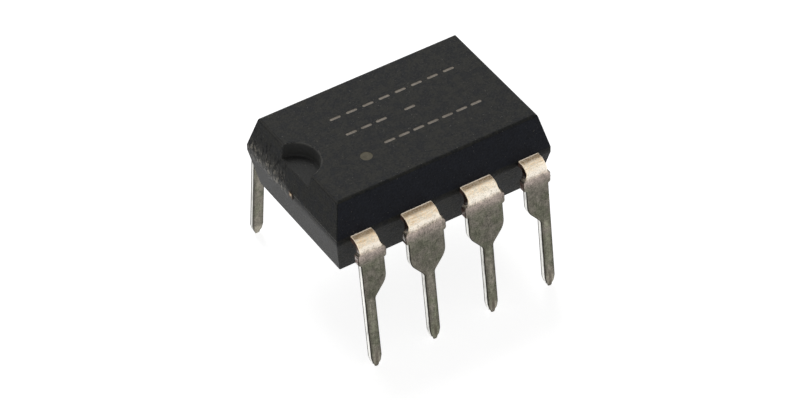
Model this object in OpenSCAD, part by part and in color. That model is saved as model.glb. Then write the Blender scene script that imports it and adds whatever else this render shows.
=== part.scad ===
// Eight-lead plastic dual in-line chip, standing on its lead tips.
// The origin is at the middle of the footprint, level with the tips. +X runs away from the notch and +Z is up.

/* [Moulded body] */
// Length of the body at the parting plane
body_len = 9.2; // [9.0:0.05:10.2]
// Width of the body at the parting plane
body_wid = 6.3; // [6.1:0.05:7.1]
// Thickness of the moulding above the lead frame
upper_h = 1.42; // [1.3:0.01:1.9]
// Thickness of the moulding below the lead frame
lower_h = 1.58; // [1.2:0.01:1.9]
// Draft of the upper end faces, in degrees
upper_end_draft = 13; // [5:0.5:15]
// Draft of the upper long faces, in degrees
upper_side_draft = 16.5; // [5:0.5:20]
// Draft of the lower end faces, in degrees
lower_end_draft = 10.5; // [5:0.5:15]
// Draft of the lower long faces, in degrees
lower_side_draft = 13.5; // [5:0.5:20]
// Radius of the edges round the top face
top_edge_r = 0.13; // [0.05:0.01:0.3]
// Radius of the edges round the underside
under_edge_r = 0.08; // [0.05:0.01:0.3]

/* [Notch and mould marks] */
// Radius of the end notch at the top face
notch_r = 1.0; // [0.6:0.05:1.2]
// Distance of the notch's middle beyond the top face's edge
notch_offset = 0.15; // [0:0.01:0.3]
// Depth of the end notch
notch_depth = 0.55; // [0.3:0.05:0.7]
// Draft of the notch wall, in degrees
notch_draft = 6; // [0:1:15]
// Radius of the ejector pin marks in the underside
ejector_r = 0.6; // [0.3:0.05:0.9]
// Depth of the ejector pin marks
ejector_depth = 0.06; // [0.03:0.01:0.15]
// Distance between the two ejector pin marks
ejector_spacing = 5.0; // [3:0.1:6]

/* [Formed leads] */
// Distance between leads in a row
pitch = 2.54; // [2.5:0.01:2.6]
// Thickness of the lead frame
frame_t = 0.25; // [0.2:0.01:0.3]
// Height of the body's underside above the lead tips
standoff = 3.82; // [3.4:0.01:4.5]
// Width of the lead's shoulder
shoulder_w = 1.52; // [1.2:0.02:1.7]
// Width of the same strip where it leaves the body
root_w = 1.32; // [1.1:0.02:1.4]
// Width of the lead's pin
pin_w = 0.46; // [0.36:0.02:0.56]
// Height above the tips where the shoulder's straight sides would end
shoulder_end = 3.73; // [3.5:0.01:3.9]
// Height above the tips where the taper would reach the pin
taper_end = 3.1; // [2.7:0.01:3.3]
// Radius of the shoulder's lower corners
shoulder_r = 0.7; // [0.2:0.05:0.8]
// Radius of the fillet between taper and pin
taper_fillet_r = 0.25; // [0.1:0.05:0.4]
// Straight run between the body and the bend
lead_reach = 0.14; // [0.08:0.01:0.4]
// Inside radius of the bend
bend_r = 0.25; // [0.15:0.01:0.4]
// Angle by which the leads splay outwards, in degrees
splay = 6.6; // [0:0.1:10]
// Height of the tip's taper
tip_taper_h = 0.45; // [0.3:0.05:0.8]
// Width of the pin where the point starts
point_w = 0.34; // [0.26:0.02:0.4]
// Height of the point
point_h = 0.14; // [0.08:0.02:0.26]
// Width of the tip's flat end
tip_w = 0.2; // [0.08:0.02:0.24]

/* [Dam bar stubs] */
// Width that the cut dam bar leaves standing on each side
dam_stub = 0.12; // [0.05:0.01:0.2]
// Distance of the stub's upper edge below the lead frame
dam_drop = 0.23; // [0.15:0.01:0.35]
// Height of the dam bar
dam_h = 0.47; // [0.3:0.01:0.5]

/* [Embedded frame] */
// Depth to which the full shoulder reaches into the moulding
anchor_depth = 0.8; // [0.7:0.05:0.9]
// Radius of the hole that locks the lead in the moulding
lock_r = 0.2; // [0.1:0.02:0.24]
// Width of the bond fingers
finger_w = 0.45; // [0.3:0.01:0.5]
// Gap between the bond fingers and the paddle
finger_gap = 0.3; // [0.2:0.01:0.4]
// Length of the die paddle
paddle_len = 3.0; // [2.4:0.05:3.2]
// Width of the die paddle
paddle_wid = 2.4; // [2.0:0.05:2.5]
// Radius of the paddle's corners
paddle_r = 0.2; // [0.1:0.05:0.4]
// Width of the tie bars
tie_w = 0.26; // [0.2:0.01:0.6]
// Distance by which the cut tie bars stand proud of the body
tie_proud = 0.03; // [0.01:0.01:0.06]

/* [Die and wires] */
// Length of the die
die_len = 1.6; // [1:0.05:2.0]
// Width of the die
die_wid = 1.3; // [1:0.05:1.6]
// Thickness of the die
die_t = 0.28; // [0.2:0.01:0.4]
// Thickness of the glue under the die
attach_t = 0.03; // [0.02:0.005:0.05]
// Width of the glue fillet round the die
attach_rim = 0.08; // [0.04:0.01:0.15]
// Diameter of the bond wires
wire_d = 0.034; // [0.026:0.002:0.05]
// Diameter of the ball bonds on the die
ball_d = 0.09; // [0.07:0.01:0.12]
// Height of the ball bonds
ball_h = 0.025; // [0.015:0.005:0.04]
// Height of the wire loops above the die
loop_h = 0.2; // [0.12:0.01:0.3]
// Distance of the bond pads from the die's edge
pad_inset = 0.12; // [0.08:0.01:0.2]
// Distance of the stitch bonds from the fingers' ends
stitch_inset = 0.2; // [0.1:0.01:0.3]
// Length of the stitch bonds, in wire diameters
stitch_spread = 2; // [1.2:0.1:3]

/* [Hidden] */
lead_count = 8;
row_count = lead_count / 2;
// Columns count outwards from the middle of a row, up to the one at the corner
corner_column = (row_count - 1) / 2;

// Levels, from the tips upwards
frame_z = standoff + lower_h;
frame_top = frame_z + frame_t;
body_top = frame_top + upper_h;
attach_top = frame_top + attach_t;
die_top = attach_top + die_t;

// The bend's middle, seen along the row
bend_y = body_wid / 2 + lead_reach;
bend_z = frame_z - bend_r;
bend_outer_r = bend_r + frame_t;
// Levels of the dam bar's stubs
dam_top = frame_z - dam_drop;
dam_low = dam_top - dam_h;
// The leg's outer face where it leaves the bend, and at the tip
leg_top = [bend_y + bend_outer_r * cos(splay), bend_z + bend_outer_r * sin(splay)];
leg_tip_y = leg_top.x + leg_top.y * tan(splay);
// Where the full shoulder ends inside the moulding
anchor_y = body_wid / 2 - anchor_depth;

// Points in an arc, for a bend and for a small fillet
bend_steps = 10;
fillet_steps = 4;
wire_sides = 6;
wire_steps = 8;
// Amount by which a cutting shape passes the surface that it cuts
past = 0.5;

body_colour = [0.18, 0.18, 0.185];
tin_colour = [0.78, 0.76, 0.70];
copper_colour = [0.72, 0.45, 0.28];
glue_colour = [0.75, 0.76, 0.78];
silicon_colour = [0.36, 0.40, 0.46];
gold_colour = [0.93, 0.74, 0.30];

function unit(v) = v / norm(v);
function turned(v) = [-v.y, v.x];

// Points of an arc round a centre
function arc(centre, r, from, to, steps) =
    [for (i = [0:steps]) let (a = from + (to - from) * i / steps) centre + r * [cos(a), sin(a)]];

// Points that round the corner b between a and c
function fillet(a, b, c, r) =
    let (
        u = unit(a - b),
        w = unit(c - b),
        half = acos(u * w) / 2,
        centre = b + unit(u + w) * r / sin(half),
        start = b + u * r / tan(half) - centre,
        end = b + w * r / tan(half) - centre,
        turn = acos(-(u * w))
    )
    [for (i = [0:fillet_steps]) let (t = i / fillet_steps)
        centre + (start * sin((1 - t) * turn) + end * sin(t * turn)) / sin(turn)];

// A closed outline of [point, radius] corners, with each corner rounded that has a radius
function rounded(corners) =
    let (n = len(corners))
    [for (i = [0:n - 1])
        each corners[i][1] == 0
            ? [corners[i][0]]
            : fillet(corners[(i + n - 1) % n][0], corners[i][0], corners[(i + 1) % n][0], corners[i][1])];

// Half-width of a drafted face at a distance from the parting band
function drafted(half, distance, draft) = half - distance * tan(draft);

// Section of the body across one direction: a band as thick as the lead frame, and a draft above and below it
function body_section(half, upper_draft, lower_draft) =
    let (
        top = drafted(half, upper_h, upper_draft),
        under = drafted(half, lower_h, lower_draft)
    )
    rounded([
        [[under, standoff], under_edge_r],
        [[half, frame_z], 0],
        [[half, frame_top], 0],
        [[top, body_top], top_edge_r],
        [[-top, body_top], top_edge_r],
        [[-half, frame_top], 0],
        [[-half, frame_z], 0],
        [[-under, standoff], under_edge_r]
    ]);

// The moulding before anything is cut from it: the section along X where it meets the section along Y
module moulded_block() {
    intersection() {
        rotate([90, 0, 90])
            linear_extrude(body_len + past, center = true)
                polygon(body_section(body_wid / 2, upper_side_draft, lower_side_draft));
        rotate([90, 0, 0])
            linear_extrude(body_wid + past, center = true)
                polygon(body_section(body_len / 2, upper_end_draft, lower_end_draft));
    }
}

// The half-round notch, centred just outside the edge between the top and the end face
module notch_cutter() {
    notch_x = drafted(body_len / 2, upper_h, upper_end_draft) + notch_offset;
    floor_r = notch_r - notch_depth * tan(notch_draft);
    rim_r = notch_r + past * tan(notch_draft);
    translate([-notch_x, 0, body_top - notch_depth])
        cylinder(h = notch_depth + past, r1 = floor_r, r2 = rim_r, $fn = 64);
}

module ejector_cutters() {
    for (side = [-1, 1])
        translate([side * ejector_spacing / 2, 0, standoff - past])
            cylinder(h = ejector_depth + past, r = ejector_r, $fn = 48);
}

// Strip of a lead seen along the row: flat inside the body, round the bend and down to the tip
function strip_section() =
    let (
        centre = [bend_y, bend_z],
        outer = arc(centre, bend_outer_r, 90, splay, bend_steps),
        inner = arc(centre, bend_r, splay, 90, bend_steps),
        tip_t = frame_t / cos(splay)
    )
    concat(
        [[anchor_y, frame_top]],
        outer,
        [[leg_tip_y, 0], [leg_tip_y - tip_t, 0]],
        inner,
        [[anchor_y, frame_z]]
    );

// One edge of a lead seen from its row's side, in the parts that follow from the tip up
function tip_edge() = [
    [[tip_w / 2, 0], 0],
    [[point_w / 2, point_h], 0],
    [[pin_w / 2, tip_taper_h], 0]
];

function dam_edge(half) = [
    [[half, dam_low], 0],
    [[half + dam_stub, dam_low], 0],
    [[half + dam_stub, dam_top], 0],
    [[half, dam_top], 0]
];

function root_edge(half) = [
    [[half, frame_z], 0],
    [[half, frame_top + past], 0]
];

// The rounded taper from the pin to the shoulder, and the shoulder up to the body
function shoulder_edge() = concat(
    tip_edge(),
    [
        [[pin_w / 2, taper_end], taper_fillet_r],
        [[shoulder_w / 2, shoulder_end], shoulder_r]
    ],
    dam_edge(shoulder_w / 2),
    root_edge(root_w / 2)
);

// The outer edge of a corner lead, which stays as narrow as the pin
function straight_edge() = concat(tip_edge(), dam_edge(pin_w / 2), root_edge(pin_w / 2));

function mirrored_edge(edge) =
    [for (i = [len(edge) - 1:-1:0]) [[-edge[i][0].x, edge[i][0].y], edge[i][1]]];

function lead_outline(corner) =
    rounded(concat(corner ? straight_edge() : shoulder_edge(), mirrored_edge(shoulder_edge())));

function column(n) = abs(n <= row_count ? n - (row_count + 1) / 2 : n - (3 * row_count + 1) / 2);
function is_corner(n) = column(n) == corner_column;
function column_x(n) = column(n) * pitch;

// The middle of the strip inside the body, beside the pin's own line on a corner lead
function anchor_x(n) = column_x(n) - (is_corner(n) ? (root_w - pin_w) / 4 : 0);

// A finger ends beside the paddle's long side, or off its corner for a corner lead
function finger_end(n) = is_corner(n)
    ? [paddle_len / 2 + finger_gap + finger_w / 2, paddle_wid / 2 - finger_w / 2]
    : [column_x(n), paddle_wid / 2 + finger_gap];
// A finger starts within the full shoulder, so that its square end doesn't show
function finger_start(n) = [anchor_x(n), anchor_y + finger_w / 2];
function finger_dir(n) = unit(finger_end(n) - finger_start(n));

// Puts what is drawn for the +X +Y quarter where lead n stands, counted from the notch's near side
module quarter_of(n) {
    at_notch = n <= row_count / 2 || n > 3 * row_count / 2;
    near = n <= row_count;
    mirror([at_notch ? 1 : 0, 0, 0])
        mirror([0, near ? 1 : 0, 0])
            children();
}

// The formed strip of one lead, cut to its outline
module formed_strip(n) {
    translate([column_x(n), 0, 0])
        intersection() {
            rotate([90, 0, 90])
                linear_extrude(shoulder_w + 2 * dam_stub + past, center = true)
                    polygon(strip_section());
            rotate([90, 0, 0])
                translate([0, 0, -leg_tip_y - past])
                    linear_extrude(leg_tip_y + past)
                        polygon(lead_outline(is_corner(n)));
        }
}

module bond_finger(n) {
    side = turned(finger_dir(n)) * finger_w / 2;
    translate([0, 0, frame_z])
        linear_extrude(frame_t)
            polygon([
                finger_start(n) + side,
                finger_start(n) - side,
                finger_end(n) - side,
                finger_end(n) + side
            ]);
}

module lock_hole(n) {
    translate([anchor_x(n), body_wid / 2 - anchor_depth / 2, frame_z - past])
        cylinder(h = frame_t + 2 * past, r = lock_r, $fn = 32);
}

module lead(n) {
    color(tin_colour)
        quarter_of(n)
            difference() {
                union() {
                    formed_strip(n);
                    bond_finger(n);
                }
                lock_hole(n);
            }
}

// The paddle and its two tie bars, cut off just outside the end faces
module die_paddle() {
    bar_x = body_len / 2 + tie_proud;
    half = [paddle_len / 2, paddle_wid / 2];
    color(copper_colour)
        translate([0, 0, frame_z])
            linear_extrude(frame_t)
                polygon(rounded([
                    [[bar_x, -tie_w / 2], 0],
                    [[bar_x, tie_w / 2], 0],
                    [[half.x, tie_w / 2], 0],
                    [half, paddle_r],
                    [[-half.x, half.y], paddle_r],
                    [[-half.x, tie_w / 2], 0],
                    [[-bar_x, tie_w / 2], 0],
                    [[-bar_x, -tie_w / 2], 0],
                    [[-half.x, -tie_w / 2], 0],
                    [-half, paddle_r],
                    [[half.x, -half.y], paddle_r],
                    [[half.x, -tie_w / 2], 0]
                ]));
}

module die_attach() {
    color(glue_colour)
        translate([-die_len / 2 - attach_rim, -die_wid / 2 - attach_rim, frame_top])
            cube([die_len + 2 * attach_rim, die_wid + 2 * attach_rim, attach_t]);
}

module die() {
    color(silicon_colour)
        translate([-die_len / 2, -die_wid / 2, attach_top])
            cube([die_len, die_wid, die_t]);
}

// A bond pad for lead n: on the die's end for a corner lead, on its long side for the others
function bond_pad(n) = is_corner(n)
    ? [die_len / 2 - pad_inset, die_wid / 4]
    : [die_len / 4, die_wid / 2 - pad_inset];
function stitch(n) = finger_end(n) - stitch_inset * finger_dir(n);

function bezier(p, t) =
    pow(1 - t, 3) * p[0] + 3 * t * pow(1 - t, 2) * p[1] + 3 * t * t * (1 - t) * p[2] + pow(t, 3) * p[3];
function bezier_dir(p, t) =
    unit(pow(1 - t, 2) * (p[1] - p[0]) + 2 * t * (1 - t) * (p[2] - p[1]) + t * t * (p[3] - p[2]));

// The loop of a wire in its own upright plane, as [distance, height]: up from the ball, then down to the finger
function wire_loop(reach) = [
    [0, die_top + 2 * ball_h],
    [0, die_top + 2 * loop_h],
    [reach / 2, die_top + loop_h],
    [reach, frame_top]
];

// Rings of a wire as [place, direction across it, radius]. The first two and the last lie level, on the die and
// on the finger, and the last is drawn out along the finger.
function wire_rings(reach) =
    let (
        loop = wire_loop(reach),
        level = [-1, 0],
        wire_r = wire_d / 2
    )
    concat(
        [
            [[0, die_top], level, ball_d / 2],
            [[0, die_top + ball_h], level, ball_d / 2]
        ],
        [for (i = [0:wire_steps - 1]) let (t = i / wire_steps)
            [bezier(loop, t), turned(bezier_dir(loop, t)), wire_r]],
        [[[reach, frame_top], level * -stitch_spread, wire_r]]
    );

module bond_wire(n) {
    from = bond_pad(n);
    span = stitch(n) - from;
    ahead = unit(span);
    across = turned(ahead);
    rings = wire_rings(norm(span));
    count = len(rings);
    points = [
        for (ring = rings, k = [0:wire_sides - 1])
            let (
                a = 360 * (k + 0.5) / wire_sides,
                place = ring[0] + ring[1] * ring[2] * cos(a),
                flat = from + ahead * place.x + across * ring[2] * sin(a)
            )
            [flat.x, flat.y, place.y]
    ];
    first = [for (k = [0:wire_sides - 1]) k];
    last = [for (k = [wire_sides - 1:-1:0]) (count - 1) * wire_sides + k];
    sides = [
        for (i = [0:count - 2], k = [0:wire_sides - 1])
            let (next = (k + 1) % wire_sides)
            [
                i * wire_sides + k,
                (i + 1) * wire_sides + k,
                (i + 1) * wire_sides + next,
                i * wire_sides + next
            ]
    ];
    color(gold_colour)
        quarter_of(n)
            polyhedron(points, concat([first], sides, [last]));
}

// Everything that the compound flows round
module embedded_pieces() {
    die_paddle();
    die_attach();
    die();
    for (n = [1:lead_count]) {
        lead(n);
        bond_wire(n);
    }
}

module body() {
    color(body_colour)
        difference() {
            moulded_block();
            notch_cutter();
            ejector_cutters();
            embedded_pieces();
        }
}

body();
for (n = [1:lead_count])
    lead(n);
die_paddle();
die_attach();
die();
for (n = [1:lead_count])
    bond_wire(n);
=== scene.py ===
"""Finish of an eight-lead plastic dual in-line chip, laid over its packed model.

The frame gives the places. Meshes are drawn in millimetres and scaled to metres when they are kept.
"""
import math
import random
from types import SimpleNamespace

import bmesh
import bpy
from bpy.props import FloatProperty, FloatVectorProperty, IntProperty, PointerProperty
from bpy.types import Operator, Panel, PropertyGroup
from mathutils import Matrix, Vector


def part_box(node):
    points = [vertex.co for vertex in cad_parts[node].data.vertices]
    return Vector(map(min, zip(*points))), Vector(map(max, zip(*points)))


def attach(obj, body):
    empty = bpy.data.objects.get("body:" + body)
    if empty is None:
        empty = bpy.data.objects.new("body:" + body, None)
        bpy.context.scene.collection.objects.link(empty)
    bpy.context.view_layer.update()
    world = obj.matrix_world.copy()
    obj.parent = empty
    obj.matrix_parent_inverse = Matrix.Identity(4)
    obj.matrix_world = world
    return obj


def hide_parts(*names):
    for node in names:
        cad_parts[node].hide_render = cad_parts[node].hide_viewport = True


bl_info = {
    "name": "Dual in-line chip",
    "version": (1, 0, 0),
    "blender": (4, 5, 0),
    "location": "3D View > Sidebar > Chip",
    "description": "Moulded body, formed leads, etched marks and a plain stage for an eight-lead chip",
    "category": "Object",
}

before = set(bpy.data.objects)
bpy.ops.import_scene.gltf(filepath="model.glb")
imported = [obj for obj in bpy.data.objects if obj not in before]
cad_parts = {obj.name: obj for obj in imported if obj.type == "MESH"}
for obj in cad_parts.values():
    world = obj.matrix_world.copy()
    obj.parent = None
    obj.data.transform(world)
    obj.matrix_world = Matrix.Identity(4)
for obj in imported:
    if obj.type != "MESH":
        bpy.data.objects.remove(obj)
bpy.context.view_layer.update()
MM = 0.001
LEAD_COUNT = 8
ROW_COUNT = LEAD_COUNT // 2
BODY_LOW, BODY_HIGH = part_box("body")
BAND_LOW, BAND_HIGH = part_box("die_paddle")
INNER_LOW, INNER_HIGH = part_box("lead_3")
# Lead 3 stands half a pitch from the middle of its row
PITCH = INNER_LOW.x + INNER_HIGH.x
SHARP_ANGLE = math.radians(34.0)


def to_mm(value):
    return value / MM


def length(label, about, default):
    """A distance in metres that a user may change."""
    return FloatProperty(
        name=label, description=about, default=default, min=0.0, precision=6, unit="LENGTH"
    )


def angle(label, about, degrees):
    return FloatProperty(name=label, description=about, default=math.radians(degrees), unit="ROTATION")


def colour(label, about, value):
    return FloatVectorProperty(
        name=label, description=about, default=value, size=3, min=0.0, max=1.0, subtype="COLOR"
    )


class ChipBodySizes(PropertyGroup):
    """Sizes and colours of the moulded body."""

    body_length: length("Length", "Length at the parting band", BODY_HIGH.x - BODY_LOW.x)
    body_width: length("Width", "Width at the parting band", BODY_HIGH.y - BODY_LOW.y)
    underside: length("Underside", "Height of the underside above the lead tips", BODY_LOW.z)
    band_low: length("Band bottom", "Lower edge of the parting band", BAND_LOW.z)
    band_high: length("Band top", "Upper edge of the parting band", BAND_HIGH.z)
    top: length("Top", "Height of the top face above the lead tips", BODY_HIGH.z)
    upper_end_draft: angle("Upper end draft", "Draft of the end faces above the band", 13.0)
    upper_side_draft: angle("Upper side draft", "Draft of the long faces above the band", 16.5)
    lower_end_draft: angle("Lower end draft", "Draft of the end faces below the band", 10.5)
    lower_side_draft: angle("Lower side draft", "Draft of the long faces below the band", 13.5)
    top_round: length("Top rounding", "Width of the rounding round the top face", 0.0001)
    under_round: length("Lower rounding", "Width of the rounding round the underside", 0.00006)
    corner_round: length("Corner rounding", "Width of the rounding of the upright corners", 0.00004)
    notch_radius: length("Notch radius", "Radius of the end notch at the top face", 0.001)
    notch_offset: length("Notch offset", "Distance of its middle beyond the top face's edge", 0.00015)
    notch_depth: length("Notch depth", "Depth of the end notch", 0.00055)
    notch_draft: angle("Notch draft", "Draft of the notch wall", 6.0)
    notch_lip: length("Notch lip", "Width of the worn lip round the notch", 0.00004)
    ejector_radius: length("Ejector radius", "Radius of the ejector pin marks", 0.0006)
    ejector_depth: length("Ejector depth", "Depth of the ejector pin marks", 0.00006)
    ejector_spacing: length("Ejector spacing", "Distance between the ejector pin marks", 0.005)
    compound: colour("Compound", "Colour of the moulding compound", (0.0205, 0.0207, 0.02))
    dark_grain: colour("Dark grain", "Darker and cooler grain of the compound", (0.006, 0.0072, 0.0092))
    light_grain: colour("Light grain", "Lighter and warmer grain of the compound", (0.036, 0.0355, 0.0305))
    # The worn colour is also laid on the top edge at the notch end, partly as a painted highlight
    worn: colour("Worn edge", "Colour of the compound where an edge has worn", (0.115, 0.113, 0.106))


class ChipMarkSizes(PropertyGroup):
    """Sizes and colour of the plain etched marks."""

    dash_length: length("Dash length", "Length of one etched dash", 0.00046)
    dash_width: length("Dash width", "Width of one etched dash", 0.00012)
    dot_radius: length("Dot radius", "Radius of the dot beside lead 1", 0.00023)
    mark_depth: length("Depth", "Depth to which the marks are etched", 0.000012)
    etched: colour("Etched compound", "Colour of the etched compound", (0.47, 0.42, 0.36))
    dot: colour("Dot", "Colour of the dot beside lead 1", (0.215, 0.195, 0.145))


class ChipLeadSizes(PropertyGroup):
    """Sizes and colours of the formed leads."""

    thickness: length("Thickness", "Thickness of the lead frame", BAND_HIGH.z - BAND_LOW.z)
    shoulder_width: length("Shoulder width", "Width of the lead's shoulder", 0.00152)
    root_width: length("Root width", "Width of the strip where it leaves the body", 0.00132)
    pin_width: length("Pin width", "Width of the lead's pin", 0.00046)
    shoulder_end: length("Shoulder end", "Height where the shoulder starts to narrow", 0.00373)
    taper_end: length("Taper end", "Height where the taper reaches the pin", 0.0031)
    shoulder_round: length("Shoulder rounding", "Radius of the shoulder's lower corners", 0.0007)
    taper_round: length("Taper rounding", "Radius between the taper and the pin", 0.00025)
    bend_radius: length("Bend radius", "Inside radius of the bend", 0.00025)
    reach: length("Reach", "Straight run between the body and the bend", 0.00014)
    splay: angle("Splay", "Angle by which the leads splay outwards", 6.6)
    tip_height: length("Tip height", "Height of the tip's taper", 0.00045)
    point_height: length("Point height", "Height of the point", 0.00014)
    point_width: length("Point width", "Width of the pin where the point starts", 0.00034)
    tip_width: length("Tip width", "Width of the tip's flat end", 0.0002)
    tip_coin: length("Tip coining", "Depth by which the point is pressed thinner", 0.00005)
    stub: length("Stub width", "Width that the cut dam bar leaves on each side", 0.00012)
    stub_top: length("Stub top", "Upper edge of the dam bar's stubs", 0.00517)
    stub_low: length("Stub bottom", "Lower edge of the dam bar's stubs", 0.0047)
    edge_round: length("Outer rounding", "Rounding of the long edges on the outer face", 0.00006)
    back_round: length("Inner rounding", "Rounding of the long edges on the inner face", 0.00002)
    anchor_depth: length("Anchor depth", "Depth of the strip inside the body", 0.0008)
    lock_radius: length("Lock hole radius", "Radius of the hole in the anchor", 0.0002)
    finger_width: length("Finger width", "Width of the bond finger", 0.00045)
    finger_gap: length("Finger gap", "Gap between a finger and the paddle", 0.0003)
    seed: IntProperty(
        name="Seed", description="Start of the random wear of the cut stubs", default=7, min=0
    )
    # The dark flat tones are partly dull tin and partly a painted reflection of the shaded floor
    flat_olive: colour("Olive tin", "Greener tone of the dull tinned flats", (0.108, 0.108, 0.08))
    flat_grey: colour("Grey tin", "Warmer tone of the dull tinned flats", (0.131, 0.121, 0.1))
    flat_brown: colour("Brown tin", "Tone of the dull tin just under the bend", (0.142, 0.12, 0.106))
    bend_pale: colour("Bright bend", "Brighter tone of the stretched tin on the bend", (0.98, 0.88, 0.72))
    bend_warm: colour("Warm bend", "Warmer tone of the stretched tin on the bend", (0.6, 0.43, 0.25))
    sheared: colour("Sheared side", "Colour of the sheared sides", (0.93, 0.92, 0.88))
    # On the cut stubs the stain colour is stain; on the bend's inner faces and sides it is partly stain and
    # partly painted shade
    stain: colour("Stain", "Colour of the stained inner sides and of the cut stubs", (0.11, 0.066, 0.052))


class ChipStageSettings(PropertyGroup):
    """Camera, lamps and floor."""

    aim: FloatVectorProperty(
        name="Aim", description="Point that the camera looks at", size=3, precision=6,
        default=(0.00193522, 0.00315061, -0.000465), unit="LENGTH",
    )
    azimuth: angle("Azimuth", "Turn of the camera round the chip", -31.50969)
    elevation: angle("Elevation", "Height of the camera as an angle", 42.59998)
    roll: angle("Roll", "Turn of the picture round the view line", -1.44995)
    distance: length("Distance", "Distance of the camera from its aim", 0.1392798)
    focal_length: FloatProperty(
        name="Focal length", description="Focal length in millimetres on a 36 mm sensor",
        default=162.99242, min=1.0,
    )
    sky: FloatProperty(name="Sky", description="Strength of the soft light from all sides", default=0.15)
    key: FloatProperty(name="Key lamp", description="Power of the large lamp behind the chip", default=0.14)
    fill: FloatProperty(name="Side lamp", description="Power of the lamp on the notch side", default=0.0004)
    floor: colour("Floor", "Colour of the floor", (0.8, 0.8, 0.8))
    floor_glow: FloatProperty(
        name="Floor glow", description="White added where the floor is seen directly", default=0.86
    )


# Places where the finish of the moulding and of the tie bars changes, in millimetres, with heights above
# the lead tips. A pair gives where a change starts and where it is full, or the two ends of a band.
NOTCH_END = (-3.9, -4.15)
NOTCH_MOUTH = (-4.15, -4.25)
TOP_EDGE = (6.9, 6.95)
# ABOVE_BAND also bounds the painted shade and painted sky reflection on the long faces
ABOVE_BAND = (5.65, 5.7)
GATE_ACROSS = (0.45, 3.0)
GATE_SCRAPED = (5.3, 6.1)
GATE_GOUGED = (5.4, 6.4)
GATE_DUSTY = (5.3, 5.95)
PARTING_LINE = (5.665, 5.69)
UPPER_END = (5.65, 5.75)
TIE_END = (4.5, 4.55)
TIE_CLEAN_ACROSS = (0.03, 0.08)
TIE_CLEAN = (5.5, 5.6)

# Places where the finish of the leads changes, in the same way
BEND_START = (5.11, 5.4)
# Span of the painted highlight across the bend
BEND_HIGHLIGHT_SPAN = (5.24, 5.46)
UNDER_BEND_BROWN = (4.6, 5.05)
# The next two spans bound where the flats are painted lighter below the bend, as a painted reflection of
# the bend fading into the flat
UNDER_BEND_REFLECTION = (4.85, 5.2)
SHOULDER_REFLECTION = (4.4, 5.15)
STUB_LEVELS = (4.72, 5.25)
PIN_START = (3.3, 2.9)
TIP_STREAK = (1.0, 0.4)
TIP_LIGHT = (0.75, 0.3)
STREAK_ACROSS = (0.1, 0.04)

# Tint of the painted shade and painted sky reflection on the long faces above the band
LONG_SIDE_SHADE_TINT = (0.42, 0.5, 0.85)
DUST = (0.62, 0.58, 0.5)
SPECK = (0.34, 0.33, 0.3)
# Colour of the painted highlight across the bend
BEND_HIGHLIGHT_TIN = (1.0, 0.96, 0.88)
DULL_TIN = (0.42, 0.31, 0.2)
# Colour of the painted highlight along the bend next to the body wall
WALL_HIGHLIGHT_TIN = (0.95, 0.87, 0.76)
PIN_STREAK = (0.06, 0.047, 0.034)


# Lengths in millimetres. A cutting shape passes the surface that it cuts by PAST.
PAST = 0.2
NOTCH_FILLET = 0.05
EJECTOR_EDGE_WIDTH = 0.02
EJECTOR_EDGE_HEIGHT = 0.015
# Half the length and half the width of the die paddle
PADDLE_HALF = (1.5, 1.2)
FINGER_ROUND = 0.03
# How far a bond finger lies inside the faces of its strip
FINGER_INSET = 0.002
# Largest share of a lead's section that the rounding of one edge may take
ROUND_SHARE = 0.42
# Fewest faces of a body and of a lead that were drawn whole
LEAST_BODY_FACES = 100
LEAST_LEAD_FACES = 300


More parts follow.
